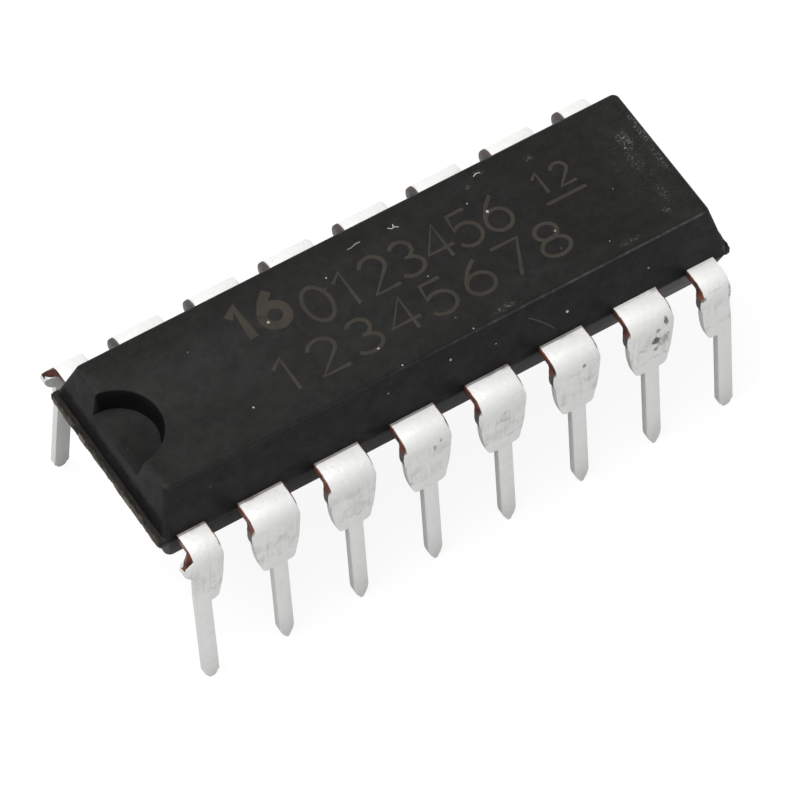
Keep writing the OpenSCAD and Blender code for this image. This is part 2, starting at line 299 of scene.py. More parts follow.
COMPOUND = (0.0128, 0.0125, 0.0127, 1)
# Tone of the up-facing faces: a warm cast, made darker as painted shade
COMPOUND_TOP_WARM_SHADED = (0.0102, 0.0099, 0.0089, 1)
SCUFF = (0.15, 0.148, 0.14, 1)
EDGE_HIGHLIGHT_GREY = (0.16, 0.158, 0.15, 1)
END_PAINTED_SHADE = (0.006, 0.0055, 0.006, 1)
NOTCH_PAINTED_SHADE = (0.001, 0.001, 0.001, 1)
DUST = (0.42, 0.41, 0.38, 1)

# Specular level of the bare compound and with its resin skin, which lies over it as a coat
BARE_GLOSS = 0.035
SKIN_GLOSS = 0.185
SKIN_IOR = 1.7
SKIN_ROUGHNESS = 0.52
SKIN_WEIGHT = 1.19

# Middle and reach of the half-round notch
NOTCH_X = -TOP_HALF_LENGTH - 0.07
NOTCH_RADIUS = 1.37
# How much painted shade darkens the notch's wall and floor, which also dulls their skin
NOTCH_WALL_SHADE = 0.68
NOTCH_FLOOR_SHADE = 0.3
# Height over the parting line up to which painted shade darkens the end faces
END_SHADE_FULL = 0.5
END_SHADE_TOP = 0.8

# Where handling has left pale scuffs on the top face: centre, reach and strength
TOP_SCUFFS = [
    ((9.05, 0.95, TOP_Z), (0.2, 0.9, 0.4), 1.0),
    ((8.95, -0.2, TOP_Z), (0.16, 0.7, 0.4), 0.7),
    ((8.42, 0.85, TOP_Z), (0.3, 0.5, 0.4), 1.0),
    ((8.3, 0.1, TOP_Z), (0.3, 0.6, 0.4), 0.45),
    ((8.35, -1.25, TOP_Z), (0.2, 0.5, 0.4), 0.4),
    ((8.1, -1.85, TOP_Z), (0.2, 0.18, 0.4), 0.7),
    ((9.1, 1.9, TOP_Z), (0.2, 0.5, 0.4), 0.16),
    ((8.5, 0.1, TOP_Z), (1.5, 2.9, 0.4), 0.1),
    ((5.73, 1.8, TOP_Z), (0.25, 0.16, 0.4), 0.5),
    ((4.17, 2.14, TOP_Z), (0.3, 0.14, 0.4), 0.5),
    ((3.65, 1.88, TOP_Z), (0.18, 0.12, 0.4), 0.4),
    ((2.3, -2.25, TOP_Z), (0.5, 0.16, 0.4), 0.7),
    ((6.6, -2.2, TOP_Z), (0.5, 0.12, 0.4), 0.5),
    ((9.45, -2.95, PARTING_Z + 0.1), (0.14, 0.2, 0.32), 0.9),
]
# The scuffs' bits to a millimetre along each axis, and the share of haze between them
SCUFF_BITS = (13.0, 21.0, 13.0)
SCUFF_HAZE = 0.05

# The scratch on the near side: middle along the side and up, turn, half length, bow and half width
SCRATCH_X = 3.23
SCRATCH_Z = 6.585
SCRATCH_TURN = math.radians(-46)
SCRATCH_HALF = 0.62
SCRATCH_BOW = 0.045
SCRATCH_WIDTH = 0.03


def side_scratch(tree, xyz):
    """A thin bowed scratch on the near side of the moulding."""
    x = minus(tree, xyz[0], SCRATCH_X)
    z = minus(tree, xyz[2], SCRATCH_Z)
    cosine = math.cos(SCRATCH_TURN)
    sine = math.sin(SCRATCH_TURN)
    along = plus(tree, times(tree, x, cosine), times(tree, z, sine))
    across = minus(tree, times(tree, z, cosine), times(tree, x, sine))
    share = calc(tree, "DIVIDE", along, SCRATCH_HALF)
    bow = times_plus(tree, times(tree, share, share), -SCRATCH_BOW, SCRATCH_BOW)
    off = size_of(tree, minus(tree, across, bow))
    line = times(tree, fade(tree, off, SCRATCH_WIDTH, 0.0),
                 fade(tree, size_of(tree, share), 1.0, 0.8))
    return times(tree, line, fade(tree, xyz[1], -1.5, -2.0))


def top_scuffs(tree, at):
    """Pale scuffs of handling on the top face: broken bits in a faint haze."""
    scuff = 0.0
    for centre, reach, strength in TOP_SCUFFS:
        mask = use(tree, PATCH, Position=at, Centre=centre, Reach=reach)["Mask"]
        scuff = larger(tree, scuff, times(tree, mask, strength))
    bits = noise_of(tree, stretched(tree, at, SCUFF_BITS), 1.0, 3.0, 0.65)
    bits = fade(tree, bits, 0.53, 0.61)
    return plus(tree, times(tree, scuff, bits), times(tree, scuff, SCUFF_HAZE))


def rim_highlight_and_wear(tree, at, xyz):
    """Painted edge highlight with some wear round the top face, stronger towards the plain end."""
    half_size = (TOP_HALF_LENGTH, TOP_HALF_WIDTH + 0.012, UPPER / 2)
    middle = (0, 0, TOP_Z - UPPER / 2 - 0.035)
    rim = use(tree, EDGE_HIGHLIGHT_AND_WEAR, Position=at, Half_size=half_size, Centre=middle,
              Reach=0.06, Break_up=0.6)["Mask"]
    return times(tree, rim, fade(tree, xyz[0], -3.0, 5.0, 0.16, 0.85))


def end_painted_shade(tree, xyz, mottle):
    """Painted shade low on the upper half's end faces: a dark band with an uneven upper edge."""
    ends = fade(tree, size_of(tree, xyz[0]), TOP_HALF_LENGTH, TOP_HALF_LENGTH + 0.1)
    facing = fade(tree, size_of(tree, whole_normal(tree)[0]), 0.75, 0.95)
    ends = times(tree, ends, facing)
    level = plus(tree, xyz[2], times_plus(tree, mottle, 0.05, -0.025))
    low = fade(tree, level, PARTING_Z + END_SHADE_TOP, PARTING_Z + END_SHADE_FULL)
    above = fade(tree, level, PARTING_Z - 0.1, PARTING_Z + 0.12)
    return times(tree, times(tree, ends, low), above)


def paint_notch_shade(tree, at, xyz):
    """Painted shade in the notch, also used to dull its skin: its wall most, its floor a little."""
    from_notch = stretched(tree, at, (1, 1, 0), (-NOTCH_X, 0, 0))
    radius = add(tree, "ShaderNodeVectorMath", {0: from_notch}, operation="LENGTH").outputs["Value"]
    notch = times(tree, fade(tree, radius, NOTCH_RADIUS + 0.05, NOTCH_RADIUS),
                  fade(tree, xyz[2], TOP_Z - 0.02, TOP_Z - 0.07))
    upright = fade(tree, size_of(tree, whole_normal(tree)[2]), 0.75, 0.45)
    inwards = fade(tree, xyz[0], -TOP_HALF_LENGTH - 0.04, -TOP_HALF_LENGTH + 0.04)
    wall = times(tree, upright, inwards)
    flat = times(tree, fade(tree, upright, 0.5, 0.0), NOTCH_FLOOR_SHADE)
    return times(tree, notch, times_plus(tree, wall, NOTCH_WALL_SHADE, flat))


def skin_weight(tree, xyz, end_shade, notch_shade_mask, mottle):
    """Weight of the resin skin: thin on the end faces' painted shade band and in the notch, thick low
    down to the right.
    """
    gloss = times_plus(tree, end_shade, -0.11, SKIN_GLOSS)
    gloss = times_plus(tree, notch_shade_mask, -0.15, gloss)
    smoother = plus(tree, fade(tree, xyz[0], -8.0, 2.0, 0.0, 0.27),
                    fade(tree, xyz[0], 4.5, 7.0, 0.0, 0.36))
    lower_half = fade(tree, xyz[2], PARTING_Z - 0.05, PARTING_Z - 0.25)
    gloss = times_plus(tree, lower_half, smoother, gloss)
    gloss = plus(tree, gloss, times_plus(tree, mottle, 0.05, -0.025))
    return times(tree, minus(tree, gloss, BARE_GLOSS), SKIN_WEIGHT, clamp=True)


def moulding_material():
    """Black moulding compound: spark-eroded grain, a warm cast on top darkened by painted shade,
    scuffs, dust, a painted edge highlight with some wear, and painted shade low on the ends and in the
    notch.
    """
    material, tree, shader, at = new_material("Moulding compound")
    xyz = split(tree, at)
    grain = use(tree, GRAIN, Position=at, Grain_per_mm=13.0, Mottle_per_mm=0.45)
    coarse = use(tree, GRAIN, Position=at, Grain_per_mm=5.0, Mottle_per_mm=2.6)
    # Up-facing faces take a warmer tone that is darker than the sides as painted shade
    on_top = fade(tree, whole_normal(tree)[2], 0.6, 0.9)
    top_warm_shade = times(tree, on_top, times_plus(tree, grain["Mottle"], 0.3, 0.7))
    colour = blend_colour(tree, top_warm_shade, COMPOUND, COMPOUND_TOP_WARM_SHADED)
    tone = times_plus(tree, coarse["Mottle"], 0.2, 0.9)
    paler_end = fade(tree, xyz[0], 6.0, 9.3)
    tone = times(tree, tone, times_plus(tree, paler_end, 0.35, 1.0))
    tone = times(tree, tone, times_plus(tree, grain["Height"], 0.9, 0.55))
    grey = add(tree, "ShaderNodeCombineColor", {0: tone, 1: tone, 2: tone}).outputs[0]
    colour = blend_colour(tree, 1.0, colour, grey, "MULTIPLY")

    colour = blend_colour(tree, times(tree, top_scuffs(tree, at), 0.9), colour, SCUFF)
    # A painted highlight along the top face's edges, with some wear
    colour = blend_colour(tree, rim_highlight_and_wear(tree, at, xyz), colour, EDGE_HIGHLIGHT_GREY)
    # Painted shade: a dark band low on the end faces, which are also rougher there with a thinner skin
    end_shade = end_painted_shade(tree, xyz, coarse["Mottle"])
    colour = blend_colour(tree, times(tree, end_shade, 0.8), colour, END_PAINTED_SHADE)
    # Painted shade in the notch's recess
    notch_shade_mask = paint_notch_shade(tree, at, xyz)
    colour = blend_colour(tree, notch_shade_mask, colour, NOTCH_PAINTED_SHADE)
    colour = blend_colour(tree, times(tree, side_scratch(tree, xyz), 0.45), colour, SCUFF)

    small = use(tree, SPECKS, Position=at, Cells_per_mm=2.3, Radius=0.07, Share=0.12)["Mask"]
    tiny = use(tree, SPECKS, Position=at, Cells_per_mm=4.5, Radius=0.1, Share=0.08)["Mask"]
    faint = larger(tree, times(tree, small, 0.22), times(tree, tiny, 0.08))
    colour = blend_colour(tree, faint, colour, DUST)
    tree.links.new(colour, shader.inputs["Base Color"])

    rough = times_plus(tree, grain["Mottle"], 0.05, 0.5)
    rough = plus(tree, rough, times(tree, end_shade, 0.3))
    tree.links.new(rough, shader.inputs["Roughness"])
    skin = skin_weight(tree, xyz, end_shade, notch_shade_mask, coarse["Mottle"])
    tree.links.new(skin, shader.inputs["Coat Weight"])
    shader.inputs["Coat IOR"].default_value = SKIN_IOR
    shader.inputs["Coat Roughness"].default_value = SKIN_ROUGHNESS
    shader.inputs["Specular IOR Level"].default_value = BARE_GLOSS
    lumps = plus(tree, grain["Height"], times(tree, coarse["Height"], 0.8))
    set_bump(tree, shader, lumps, 0.006, 0.7)
    return material


# The flash: its dark and brown resin, and the tan of its outermost and lower edges
FLASH_DARK = (0.007, 0.0065, 0.006, 1)
FLASH_BROWN = (0.019, 0.0155, 0.011, 1)
FLASH_TAN = (0.085, 0.068, 0.048, 1)
FLASH_UNDER = (0.12, 0.1, 0.075, 1)


def flash_material():
    """The torn, resin-brown flash, tan where it is thinnest."""
    material, tree, shader, at = new_material("Torn flash")
    xyz = split(tree, at)
    grain = use(tree, GRAIN, Position=at, Grain_per_mm=7.0, Mottle_per_mm=1.6)
    colour = blend_colour(tree, grain["Mottle"], FLASH_DARK, FLASH_BROWN)
    patches = fade(tree, noise_of(tree, at, 3.4, 3.0, 0.6), 0.42, 0.62)
    out_x = plus(tree, size_of(tree, xyz[0]), times(tree, patches, 0.03))
    outer = fade(tree, out_x, HALF_LENGTH + 0.115, HALF_LENGTH + 0.16)
    outer = times(tree, outer, times_plus(tree, patches, 0.6, 0.2))
    colour = blend_colour(tree, outer, colour, FLASH_TAN)
    lower = fade(tree, xyz[2], PARTING_Z + 0.02, PARTING_Z - 0.1)
    colour = blend_colour(tree, times(tree, lower, 0.4), colour, FLASH_UNDER)
    tree.links.new(colour, shader.inputs["Base Color"])
    rough = times_plus(tree, grain["Height"], 0.3, 0.5)
    tree.links.new(rough, shader.inputs["Roughness"])
    shader.inputs["Specular IOR Level"].default_value = 0.3
    set_bump(tree, shader, grain["Height"], 0.02, 0.9)
    return material


# The die pad's frame: clean inside the moulding, tarnished where it was cut off outside
FRAME_CLEAN = (0.55, 0.24, 0.15, 1)
FRAME_DULL = (0.42, 0.17, 0.1, 1)
TARNISH_DARK = (0.05, 0.042, 0.03, 1)
TARNISH_PALE = (0.16, 0.135, 0.1, 1)


def tie_bar_material():
    """Copper of the die pad: clean inside, brown grey on the tie bars' cut ends."""
    material, tree, shader, at = new_material("Frame copper")
    xyz = split(tree, at)
    grain = use(tree, GRAIN, Position=at, Grain_per_mm=20.0, Mottle_per_mm=2.0)
    copper = blend_colour(tree, grain["Mottle"], FRAME_CLEAN, FRAME_DULL)
    outside = fade(tree, size_of(tree, xyz[0]), HALF_LENGTH - 0.05, HALF_LENGTH)
    tarnish = blend_colour(tree, grain["Mottle"], TARNISH_DARK, TARNISH_PALE)
    tree.links.new(blend_colour(tree, outside, copper, tarnish), shader.inputs["Base Color"])
    tree.links.new(times_plus(tree, outside, -0.8, 1.0), shader.inputs["Metallic"])
    rough = times_plus(tree, grain["Height"], 0.2, 0.3)
    tree.links.new(times_plus(tree, outside, 0.2, rough), shader.inputs["Roughness"])
    set_bump(tree, shader, grain["Height"], 0.003, 0.5)
    return material


# The marking's burnt tone, its pale grains and where it is nearly worn off
MARK_DARK = (0.024, 0.0205, 0.0155, 1)
MARK_PALE = (0.056, 0.046, 0.034, 1)
MARK_FAINT = (0.022, 0.02, 0.017, 1)


def marking_material():
    """Laser marking: the compound's top skin burnt to a faint brown grey."""
    material, tree, shader, at = new_material("Laser marking")
    grain = use(tree, GRAIN, Position=at, Grain_per_mm=16.0, Mottle_per_mm=1.1)
    colour = blend_colour(tree, grain["Height"], MARK_DARK, MARK_PALE)
    colour = blend_colour(tree, times(tree, grain["Mottle"], 0.5), colour, MARK_FAINT)
    tree.links.new(colour, shader.inputs["Base Color"])
    tree.links.new(times_plus(tree, grain["Height"], 0.2, 0.6), shader.inputs["Roughness"])
    shader.inputs["Specular IOR Level"].default_value = 0.3
    set_bump(tree, shader, grain["Height"], 0.004, 0.6)
    return material


TIN = (0.95, 0.95, 0.925, 1)
TIN_DULL = (0.79, 0.79, 0.76, 1)
COPPER = (0.2, 0.062, 0.038, 1)
COPPER_DARK = (0.055, 0.02, 0.017, 1)
# Painted shade on the side faces at the bends
BEND_SIDE_SHADE = (0.032, 0.026, 0.024, 1)
# Painted shade on the leads' side faces
SIDE_PAINTED_SHADE_GREY = (0.58, 0.58, 0.57, 1)
GRIME = (0.13, 0.128, 0.125, 1)
STAIN = (0.53, 0.505, 0.46, 1)
# Painted shade on the leads' inner faces
INNER_PAINTED_SHADE = (0.42, 0.41, 0.39, 1)

# Dark scuffs on the outer faces of the near leads: place along the row and height, reach, share kept
LEAD_SCUFFS = [
    ((6.46, 4.72), (0.14, 0.18), 1.0),
    ((6.79, 5.46), (0.08, 0.17), 0.9),
    ((6.5, 5.2), (0.08, 0.1), 0.7),
    ((6.7, 4.55), (0.22, 0.3), 0.5),
    ((6.5, 4.3), (0.1, 0.1), 0.7),
    ((6.85, 4.75), (0.08, 0.2), 0.6),
    ((8.08, 5.5), (0.13, 0.08), 0.75),
    ((9.05, 6.0), (0.1, 0.16), 0.6),
    ((9.0, 5.3), (0.07, 0.4), 0.5),
    ((8.6, 5.62), (0.4, 0.05), 0.2),
    ((3.96, 5.36), (0.08, 0.1), 0.7),
    ((4.1, 4.6), (0.3, 0.2), 0.2),
    ((-1.13, 5.17), (0.07, 0.14), 0.5),
    ((-0.93, 5.42), (0.05, 0.1), 0.5),
    ((1.2, 4.7), (0.3, 0.22), 0.25),
    ((1.3, 5.1), (0.1, 0.1), 0.3),
    ((-6.3, 4.75), (0.12, 0.08), 0.3),
    ((6.05, 4.6), (0.2, 0.2), 0.25),
]
# How much further a scuff's mask goes than its reach, because its edge is soft
SCUFF_SPREAD = 1.5
# The sides of a stamped shoulder towards the notch end and away from it, from its pin's centre line
NOTCH_SIDE = -0.82
PLAIN_SIDE = 0.68
# How far below the parting line the dam bar was cut off
DAM_BAR_DROP = 1.82
# The far row keeps this share of the copper, because its sides are cleaner
FAR_ROW_SHARE = 0.15


def rubbed(tree, at, on_face):
    """Rub marks down the leads, with a few across them."""
    rubs = noise_of(tree, stretched(tree, at, (10.0, 2.0, 0.9)), 1.0, 2.0, 0.6)
    cross = noise_of(tree, stretched(tree, at, (1.1, 1.1, 5.0)), 1.0, 2.0, 0.6)
    worn = plus(tree, times(tree, rubs, 0.85), times(tree, cross, 0.15))
    worn = fade(tree, worn, 0.45, 0.68)
    return times(tree, worn, times_plus(tree, on_face, 0.8, 0.2))


def stained(tree, at, xyz, on_face):
    """Soft stains on the shoulders' faces and on the pins' ends."""
    blotch = fade(tree, noise_of(tree, at, 2.4, 3.0, 0.55), 0.48, 0.66)
    low_end = times(tree, fade(tree, xyz[2], 1.3, 0.2), noise_of(tree, at, 9.0, 3.0, 0.7))
    return larger(tree, times(tree, times(tree, blotch, on_face), 0.35), times(tree, low_end, 0.4))


def dirty(tree, at, xyz, set_z):
    """Dirt along the dam bar's cut and at the roots, in dark scuffs and in pits."""
    band = minus(tree, set_z, PARTING_Z - DAM_BAR_DROP)
    line = fade(tree, size_of(tree, band), 0.16, 0.03)
    broken = fade(tree, noise_of(tree, at, 4.5, 4.0, 0.65), 0.5, 0.64)
    dirt = times(tree, times(tree, line, broken), 0.26)
    root = fade(tree, size_of(tree, xyz[1]), HALF_WIDTH + 0.16, HALF_WIDTH + 0.02)
    smudge = times(tree, root, fade(tree, noise_of(tree, at, 1.4, 3.0), 0.5, 0.66))
    dirt = larger(tree, dirt, times(tree, smudge, 0.55))

    chips = noise_of(tree, at, 8.5, 4.0, 0.75)
    for (x, z), (reach_x, reach_z), kept in LEAD_SCUFFS:
        mask = use(tree, PATCH, Position=at, Centre=(x, -HALF_WIDTH - 0.93, z),
                   Reach=(reach_x * SCUFF_SPREAD, 0.45, reach_z * SCUFF_SPREAD))["Mask"]
        inside = times_plus(tree, mask, 0.2 + 0.16 * kept, chips)
        dirt = larger(tree, dirt, times(tree, fade(tree, inside, 0.68, 0.78), kept))
    pits = use(tree, SPECKS, Position=at, Cells_per_mm=2.1, Radius=0.08, Share=0.1)["Mask"]
    return larger(tree, dirt, times(tree, pits, 0.35))


def bared(tree, at, xyz, normal, side, cut_z, set_z):
    """Copper laid bare: the bends' cut sides and the rims beside them, and the pins' cut tips."""
    column = calc(tree, "FLOOR", calc(tree, "DIVIDE", xyz[0], PITCH))
    across = minus(tree, xyz[0], times_plus(tree, column, PITCH, PITCH / 2))
    ragged = times_plus(tree, noise_of(tree, at, 4.0, 3.0, 0.6), 0.06, -0.03)
    across = plus(tree, across, ragged)
    rim_plain = times(tree, fade(tree, across, PLAIN_SIDE - 0.045, PLAIN_SIDE - 0.015),
                      fade(tree, set_z, PARTING_Z - 0.14, PARTING_Z + 0.04))
    rim_notch = times(tree, fade(tree, across, NOTCH_SIDE + 0.055, NOTCH_SIDE + 0.02),
                      fade(tree, set_z, PARTING_Z - 0.3, PARTING_Z - 0.12))
    rim = larger(tree, rim_plain, rim_notch)
    cut = times(tree, side, fade(tree, cut_z, PARTING_Z - 0.32, PARTING_Z - 0.08))
    tip = times(tree, fade(tree, normal[2], -0.6, -0.85), fade(tree, xyz[2], 0.12, 0.05))
    bare = larger(tree, larger(tree, cut, rim), times(tree, tip, 0.7))
    near = larger(tree, fade(tree, xyz[1], 0.2, 0.0), fade(tree, xyz[0], -8.4, -8.6))
    return times(tree, bare, times_plus(tree, near, 1 - FAR_ROW_SHARE, FAR_ROW_SHARE))


def lead_material():
    """Matt tin over stamped copper: rub marks, stains and scuffs, with bare copper where it was cut,
    and painted shade on the side and inner faces.
    """
    material, tree, shader, at = new_material("Tinned lead")
    xyz = split(tree, at)
    normal = whole_normal(tree)
    grain = use(tree, GRAIN, Position=at, Grain_per_mm=11.0, Mottle_per_mm=1.3)
    patchy = use(tree, GRAIN, Position=at, Grain_per_mm=4.5, Mottle_per_mm=3.4)
    wobble = times_plus(tree, noise_of(tree, at, 1.5, 2.0), 0.5, -0.25)
    set_z = plus(tree, xyz[2], wobble)
    cut_z = plus(tree, xyz[2], times(tree, wobble, 0.4))
    on_face = times(tree, fade(tree, set_z, PARTING_Z - 2.0, PARTING_Z - 1.7),
                    fade(tree, set_z, PARTING_Z - 0.3, PARTING_Z - 0.8))
    worn = rubbed(tree, at, on_face)
    colour = blend_colour(tree, times(tree, worn, 0.85), TIN, TIN_DULL)
    colour = blend_colour(tree, times(tree, patchy["Mottle"], 0.25), colour, TIN_DULL)
    colour = blend_colour(tree, stained(tree, at, xyz, on_face), colour, STAIN)
    dirt = dirty(tree, at, xyz, set_z)
    colour = blend_colour(tree, dirt, colour, GRIME)

    # Painted shade on the faces that turn in under the moulding
    inward = times(tree, normal[1], calc(tree, "SIGN", xyz[1]))
    inner_shade = times(tree, fade(tree, inward, -0.4, -0.8), 0.75)
    colour = blend_colour(tree, inner_shade, colour, INNER_PAINTED_SHADE)
    # Painted shade on the faces turned sideways
    side_shade_share = fade(tree, size_of(tree, normal[0]), 0.15, 0.5)
    colour = blend_colour(tree, times(tree, side_shade_share, 0.6), colour, SIDE_PAINTED_SHADE_GREY)
    side = fade(tree, size_of(tree, normal[0]), 0.5, 0.8)
    # Painted shade on the side faces at the bends and just below them
    dark = fade(tree, cut_z, PARTING_Z - 0.95, PARTING_Z - 0.6)
    dark = times(tree, dark, fade(tree, xyz[0], FIRST_SIDE - 0.04, FIRST_SIDE))
    bend_side_shade = times(tree, times(tree, side, dark), 0.93)
    colour = blend_colour(tree, bend_side_shade, colour, BEND_SIDE_SHADE)

    bare = bared(tree, at, xyz, normal, side, cut_z, set_z)
    tarnish = fade(tree, noise_of(tree, at, 3.4, 3.0), 0.38, 0.68)
    copper = blend_colour(tree, tarnish, COPPER, COPPER_DARK)
    colour = blend_colour(tree, bare, colour, copper)
    at_root = fade(tree, size_of(tree, xyz[1]), HALF_WIDTH + 0.06, HALF_WIDTH + 0.02)
    at_root = times(tree, at_root, fade(tree, xyz[0], 4.0, 5.2, 0.7, 0.12))
    colour = blend_colour(tree, at_root, colour, COPPER_DARK)
    tree.links.new(colour, shader.inputs["Base Color"])

    metal = times_plus(tree, bare, 0.35, 0.06)
    metal = times(tree, metal, times_plus(tree, side, -0.5, 1.0))
    tree.links.new(metal, shader.inputs["Metallic"])
    rough = times_plus(tree, worn, 0.1, 0.4)
    rough = plus(tree, rough, times(tree, patchy["Mottle"], 0.05))
    rough = plus(tree, rough, times(tree, dirt, 0.25))
    tree.links.new(rough, shader.inputs["Roughness"])
    relief = plus(tree, times(tree, grain["Height"], 0.3), times(tree, worn, 0.25))
    relief = plus(tree, relief, times(tree, patchy["Height"], 1.1))
    relief = minus(tree, relief, times(tree, dirt, 0.6))
    set_bump(tree, shader, relief, 0.018, 0.75)
    return material


def shear_material():
    """Copper laid bare where the dam bar was sheared off the first leads."""
    material, tree, shader, at = new_material("Sheared copper")
    grain = use(tree, GRAIN, Position=at, Grain_per_mm=12.0, Mottle_per_mm=3.5)
    colour = blend_colour(tree, grain["Mottle"], COPPER, COPPER_DARK)
    tree.links.new(colour, shader.inputs["Base Color"])
    tree.links.new(times_plus(tree, grain["Height"], 0.2, 0.35), shader.inputs["Roughness"])
    shader.inputs["Metallic"].default_value = 0.5
    set_bump(tree, shader, grain["Height"], 0.01, 0.8)
    return material


def plain_metal(name, colour, dull, roughness):
    """Metal of the bond wires, with grain and a slow change of tone."""
    material, tree, shader, at = new_material(name)
    grain = use(tree, GRAIN, Position=at, Grain_per_mm=20.0, Mottle_per_mm=2.0)
    tree.links.new(blend_colour(tree, grain["Mottle"], colour, dull), shader.inputs["Base Color"])
    tree.links.new(times_plus(tree, grain["Height"], 0.2, roughness), shader.inputs["Roughness"])
    shader.inputs["Metallic"].default_value = 1.0
    set_bump(tree, shader, grain["Height"], 0.003, 0.5)
    return material


def plain_solid(name, colour, dull, roughness):
    """Material of the die and its adhesive."""
    material, tree, shader, at = new_material(name)
    grain = use(tree, GRAIN, Position=at, Grain_per_mm=24.0, Mottle_per_mm=3.0)
    tree.links.new(blend_colour(tree, grain["Mottle"], colour, dull), shader.inputs["Base Color"])
    tree.links.new(times_plus(tree, grain["Height"], 0.15, roughness), shader.inputs["Roughness"])
    set_bump(tree, shader, grain["Height"], 0.002, 0.4)
    return material


# Pieces

# Points of a node's mesh this close, in millimetres, are one point
JOIN_DISTANCE = 0.001
# Angles, in degrees, under which faces count as flat, and over which edges are eased or shaded sharp
FLAT_ANGLE = 0.6
EASED_ANGLE = 35
SHARP_ANGLE = 32
# Widths of the eased edges, in millimetres
MOULDING_EASE = 0.015
LEAD_EASE = 0.022


def make_active(piece):
    """Selects one piece and nothing else."""
    for each in bpy.context.selected_objects:
        each.select_set(False)
    piece.select_set(True)
    bpy.context.view_layer.objects.active = piece


def shade_smooth(piece, degrees):
    """Shades a piece smooth, apart from edges sharper than an angle."""
    make_active(piece)
    bpy.ops.object.shade_smooth_by_angle(angle=math.radians(degrees))


def wear_material(piece, material):
    """Gives a piece one material all over."""
    piece.data.materials.clear()
    piece.data.materials.append(material)


def piece_from(mesh, name, sharp_degrees):
    """A piece made of a finished bmesh, which is freed."""
    data = bpy.data.meshes.new(name)
    mesh.to_mesh(data)
    mesh.free()
    piece = bpy.data.objects.new(name, data)
    bpy.context.scene.collection.objects.link(piece)
    shade_smooth(piece, sharp_degrees)
    return piece


def softened_copy(node, name, edge_mm):
    """A node's own shape with its triangles joined, its sharp edges eased and smooth shading."""
    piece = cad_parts[node].copy()
    piece.data = piece.data.copy()
    piece.name = name
    for key in list(piece.keys()):
        del piece[key]
    bpy.context.scene.collection.objects.link(piece)
    make_active(piece)
    bpy.ops.object.mode_set(mode="EDIT")
    bpy.ops.mesh.select_all(action="SELECT")
    bpy.ops.mesh.remove_doubles(threshold=JOIN_DISTANCE * MM)
    bpy.ops.mesh.dissolve_limited(angle_limit=math.radians(FLAT_ANGLE))
    bpy.ops.mesh.normals_make_consistent(inside=False)
    bpy.ops.object.mode_set(mode="OBJECT")
    bevel = piece.modifiers.new("Eased edges", "BEVEL")
    bevel.width = edge_mm * MM
    bevel.segments = 2
    bevel.limit_method = "ANGLE"
    bevel.angle_limit = math.radians(EASED_ANGLE)
    bevel.use_clamp_overlap = True
    bpy.ops.object.modifier_apply(modifier=bevel.name)
    bpy.ops.object.mode_set(mode="EDIT")
    bpy.ops.mesh.select_all(action="SELECT")
    bpy.ops.mesh.quads_convert_to_tris(quad_method="BEAUTY", ngon_method="BEAUTY")
    bpy.ops.object.mode_set(mode="OBJECT")
    shade_smooth(piece, SHARP_ANGLE)
    return piece


# The flash bar, in millimetres: how far it goes into the moulding, stands past the solid's own
# flash and stays clear of the sides, and its thickness as a share of the sheet's
FLASH_ROOT = 0.1
FLASH_PAST = 0.012
FLASH_SIDE_GAP = 0.04
FLASH_THICKNESS = 1.16
# Its corners: how far they reach along the bar, how far they draw in and the share they thin by
FLASH_CORNER = 0.16
FLASH_CORNER_IN = 0.06
FLASH_CORNER_THIN = 0.1
# Heights of its long waves, its short tears and its lift, and the edges that are cut up for them
FLASH_WAVE = 0.03
FLASH_TEAR = 0.015
FLASH_LIFT = 0.03
LONG_EDGE = 0.2


def make_flash(side, name):
    """Torn flash along one end's parting line: a thin bar over the moulding's own, torn outwards."""
    reach = FLASH_REACH if side < 0 else PLAIN_FLASH_REACH
    depth = reach + FLASH_ROOT
    length = 2 * (HALF_WIDTH - FLASH_SIDE_GAP)
    thickness = SHEET * FLASH_THICKNESS
    bpy.ops.object.select_all(action="DESELECT")
    bpy.ops.mesh.primitive_cube_add(size=1)
    piece = bpy.context.active_object
    piece.name = name
    piece.data.transform(Matrix.Diagonal((depth * MM, length * MM, thickness * MM, 1)))
    bpy.ops.object.mode_set(mode="EDIT")
    bpy.ops.mesh.select_all(action="SELECT")
    bpy.ops.mesh.subdivide(number_cuts=5)
    bpy.ops.object.mode_set(mode="OBJECT")
    mesh = bmesh.new()
    mesh.from_mesh(piece.data)
    long_edges = [edge for edge in mesh.edges
                  if abs((edge.verts[0].co - edge.verts[1].co).y) > LONG_EDGE * MM]
    bmesh.ops.subdivide_edges(mesh, edges=long_edges, cuts=18, use_grid_fill=True)
    centre_x = side * (HALF_LENGTH + reach - depth / 2 + FLASH_PAST)
    for vertex in mesh.verts:
        place = vertex.co / MM
        share = max(0.0, place.x * side / depth + 0.5)
        corner = max(0.0, (abs(place.y) - length / 2 + FLASH_CORNER) / FLASH_CORNER)
        rough = noise.noise(Vector((place.y * 2.1 + 17 * side, place.z * 2.0, 3.7))) * FLASH_WAVE
        rough += noise.noise(Vector((place.y * 9.0, place.z * 9.0, side * 5.0))) * FLASH_TEAR
        vertex.co.x += side * share * (rough - FLASH_CORNER_IN * corner * corner) * MM
        lift = noise.noise(Vector((place.y * 3.3, share * 3.0, 11.0 + side))) * FLASH_LIFT
        vertex.co.z += (share * lift - FLASH_CORNER_THIN * corner * corner * place.z * share) * MM
        vertex.co.x += centre_x * MM
        vertex.co.z += PARTING_Z * MM
    mesh.to_mesh(piece.data)
    mesh.free()
    shade_smooth(piece, 40)
    return piece


# The sheared sides of the first leads' bends: steps round the bend, its first angle and its turn in
# degrees, then in millimetres what the width grows by and starts from, the depths of the outer and
# inner side under the bend's face, and how far they go into the lead
WEDGE_STEPS = 8
WEDGE_START = 14
WEDGE_TURN = 62
WEDGE_WIDTH = 0.32
WEDGE_EDGE = 0.012
WEDGE_DEPTHS = (0.012, 0.235)
WEDGE_OVERLAP = 0.02


